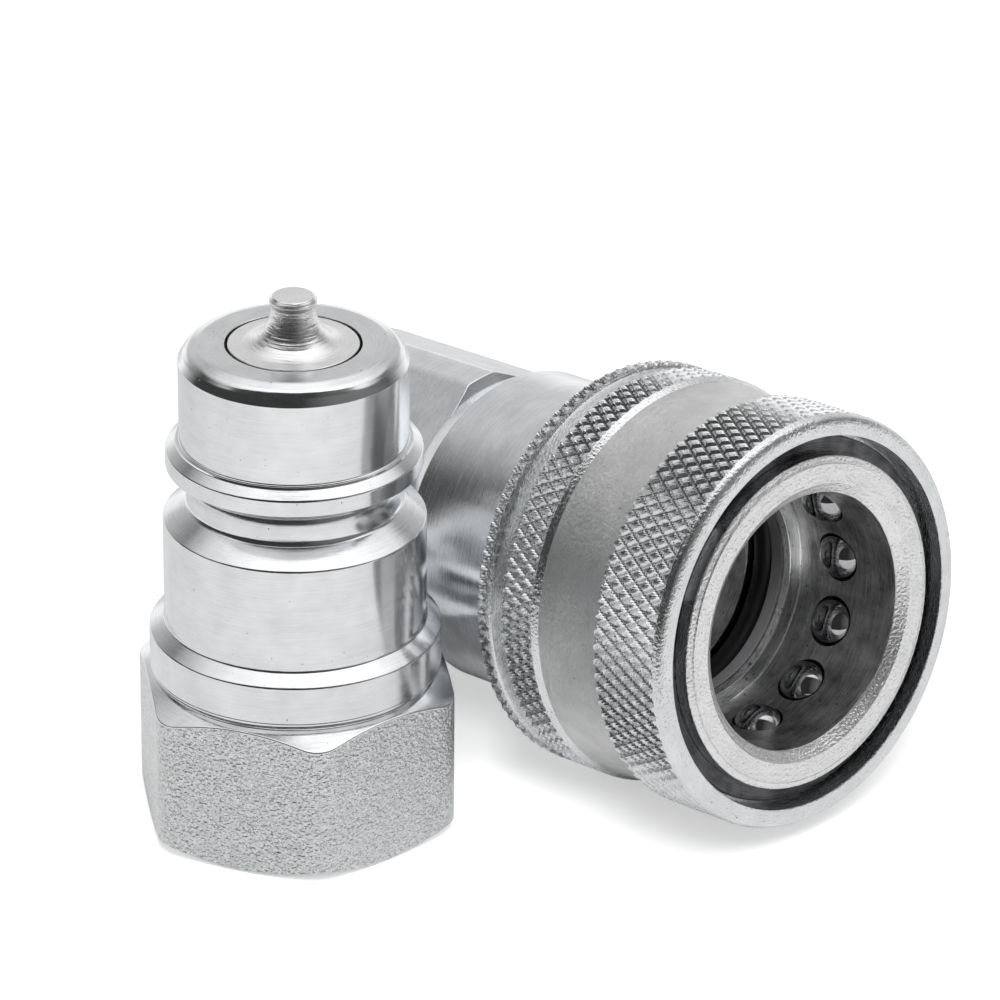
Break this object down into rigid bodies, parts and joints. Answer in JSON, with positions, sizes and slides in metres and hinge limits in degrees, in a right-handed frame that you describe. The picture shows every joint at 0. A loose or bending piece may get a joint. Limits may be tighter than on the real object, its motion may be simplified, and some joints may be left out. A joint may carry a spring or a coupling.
{
  "type": "hydraulic quick coupler",
  "caption": "Half inch ball-lock hydraulic quick coupler, uncoupled: a plug half with a poppet nose standing beside a socket half with a knurled locking sleeve.",
  "frame": {"origin": "centre of the plug half's port face, on the surface that both halves stand on", "axes": "+Z along the plug's axis towards its nose, -Y the way the socket half's mouth faces, raised by its rest tilt"},
  "size_m": [0.0647, 0.0689, 0.0511],
  "materials": {
    "plug_steel": "bright zinc plate over turned steel, hex flats left rough forged",
    "poppet_steel": "bright turned steel with fine turning rings",
    "body_steel": "bright zinc plate over turned steel, bore left with fine scratches",
    "adapter_steel": "bright zinc plate over drawn hexagon bar",
    "sleeve_steel": "knurled and brushed steel, bright plated",
    "ball_steel": "mirror polished bearing steel",
    "ring_steel": "dark phosphated spring steel",
    "spring_steel": "drawn spring wire",
    "guide_steel": "zinc plated pressed steel",
    "seal_rubber": "oiled black nitrile rubber",
    "backup_plastic": "grey filled plastic"
  },
  "bodies": {
    "frame": {"plug_body": "plug_steel", "plug_valve_guide": "guide_steel", "plug_guide_ring": "ring_steel", "plug_valve_spring": "spring_steel", "socket_body": "body_steel", "socket_adapter": "adapter_steel", "adapter_seal": "seal_rubber", "nose_seal": "seal_rubber", "backup_ring": "backup_plastic", "sleeve_stop_ring": "ring_steel", "sleeve_spring": "spring_steel", "socket_valve_guide": "guide_steel", "socket_valve_spring": "spring_steel"},
    "sleeve": {"locking_sleeve": "sleeve_steel"},
    "plug_valve": {"plug_poppet": "poppet_steel", "plug_poppet_seal": "seal_rubber"},
    "socket_valve": {"socket_poppet": "poppet_steel", "socket_poppet_seal": "seal_rubber"},
    "ball_01": {"lock_ball_01": "ball_steel"},
    "ball_02": {"lock_ball_02": "ball_steel"},
    "ball_03": {"lock_ball_03": "ball_steel"},
    "ball_04": {"lock_ball_04": "ball_steel"},
    "ball_05": {"lock_ball_05": "ball_steel"},
    "ball_06": {"lock_ball_06": "ball_steel"},
    "ball_07": {"lock_ball_07": "ball_steel"},
    "ball_08": {"lock_ball_08": "ball_steel"},
    "ball_09": {"lock_ball_09": "ball_steel"},
    "ball_10": {"lock_ball_10": "ball_steel"},
    "ball_11": {"lock_ball_11": "ball_steel"},
    "ball_12": {"lock_ball_12": "ball_steel"}
  },
  "joints": [
    {"name": "sleeve_slide", "type": "slide", "parent": "frame", "child": "sleeve", "axis": [0, 0.9948, -0.1015], "range_m": [0, 0.005], "stiffness_N_per_m": 4000, "springref_m": -0.00005, "deforming": ["sleeve_spring"]},
    {"name": "plug_poppet_slide", "type": "slide", "parent": "frame", "child": "plug_valve", "axis": [0, 0, -1], "range_m": [0, 0.005], "stiffness_N_per_m": 1500, "springref_m": -0.0001, "deforming": ["plug_valve_spring"]},
    {"name": "socket_poppet_slide", "type": "slide", "parent": "frame", "child": "socket_valve", "axis": [0, 0.9948, -0.1015], "range_m": [0, 0.005], "stiffness_N_per_m": 1500, "springref_m": -0.0001, "deforming": ["socket_valve_spring"]},
    {"name": "ball_01_slide", "type": "slide", "parent": "frame", "child": "ball_01", "axis": [0.999, 0.0046, 0.0451], "range_m": [0, 0.0012]},
    {"name": "ball_02_slide", "type": "slide", "parent": "frame", "child": "ball_02", "axis": [0.8425, 0.0547, 0.536], "range_m": [0, 0.0012]},
    {"name": "ball_03_slide", "type": "slide", "parent": "frame", "child": "ball_03", "axis": [0.4602, 0.0901, 0.8832], "range_m": [0, 0.0012]},
    {"name": "ball_04_slide", "type": "slide", "parent": "frame", "child": "ball_04", "axis": [-0.0454, 0.1014, 0.9938], "range_m": [0, 0.0012]},
    {"name": "ball_05_slide", "type": "slide", "parent": "frame", "child": "ball_05", "axis": [-0.5388, 0.0855, 0.8381], "range_m": [0, 0.0012]},
    {"name": "ball_06_slide", "type": "slide", "parent": "frame", "child": "ball_06", "axis": [-0.8878, 0.0467, 0.4578], "range_m": [0, 0.0012]},
    {"name": "ball_07_slide", "type": "slide", "parent": "frame", "child": "ball_07", "axis": [-0.999, -0.0046, -0.0451], "range_m": [0, 0.0012]},
    {"name": "ball_08_slide", "type": "slide", "parent": "frame", "child": "ball_08", "axis": [-0.8425, -0.0547, -0.536], "range_m": [0, 0.0012]},
    {"name": "ball_09_slide", "type": "slide", "parent": "frame", "child": "ball_09", "axis": [-0.4602, -0.0901, -0.8832], "range_m": [0, 0.0012]},
    {"name": "ball_10_slide", "type": "slide", "parent": "frame", "child": "ball_10", "axis": [0.0454, -0.1014, -0.9938], "range_m": [0, 0.0012]},
    {"name": "ball_11_slide", "type": "slide", "parent": "frame", "child": "ball_11", "axis": [0.5388, -0.0855, -0.8381], "range_m": [0, 0.0012]},
    {"name": "ball_12_slide", "type": "slide", "parent": "frame", "child": "ball_12", "axis": [0.8878, -0.0467, -0.4578], "range_m": [0, 0.0012]}
  ],
  "couplings": [
    {"joint": "ball_01_slide", "follows": "sleeve_slide", "ratio": 0.24},
    {"joint": "ball_02_slide", "follows": "sleeve_slide", "ratio": 0.24},
    {"joint": "ball_03_slide", "follows": "sleeve_slide", "ratio": 0.24},
    {"joint": "ball_04_slide", "follows": "sleeve_slide", "ratio": 0.24},
    {"joint": "ball_05_slide", "follows": "sleeve_slide", "ratio": 0.24},
    {"joint": "ball_06_slide", "follows": "sleeve_slide", "ratio": 0.24},
    {"joint": "ball_07_slide", "follows": "sleeve_slide", "ratio": 0.24},
    {"joint": "ball_08_slide", "follows": "sleeve_slide", "ratio": 0.24},
    {"joint": "ball_09_slide", "follows": "sleeve_slide", "ratio": 0.24},
    {"joint": "ball_10_slide", "follows": "sleeve_slide", "ratio": 0.24},
    {"joint": "ball_11_slide", "follows": "sleeve_slide", "ratio": 0.24},
    {"joint": "ball_12_slide", "follows": "sleeve_slide", "ratio": 0.24}
  ]
}
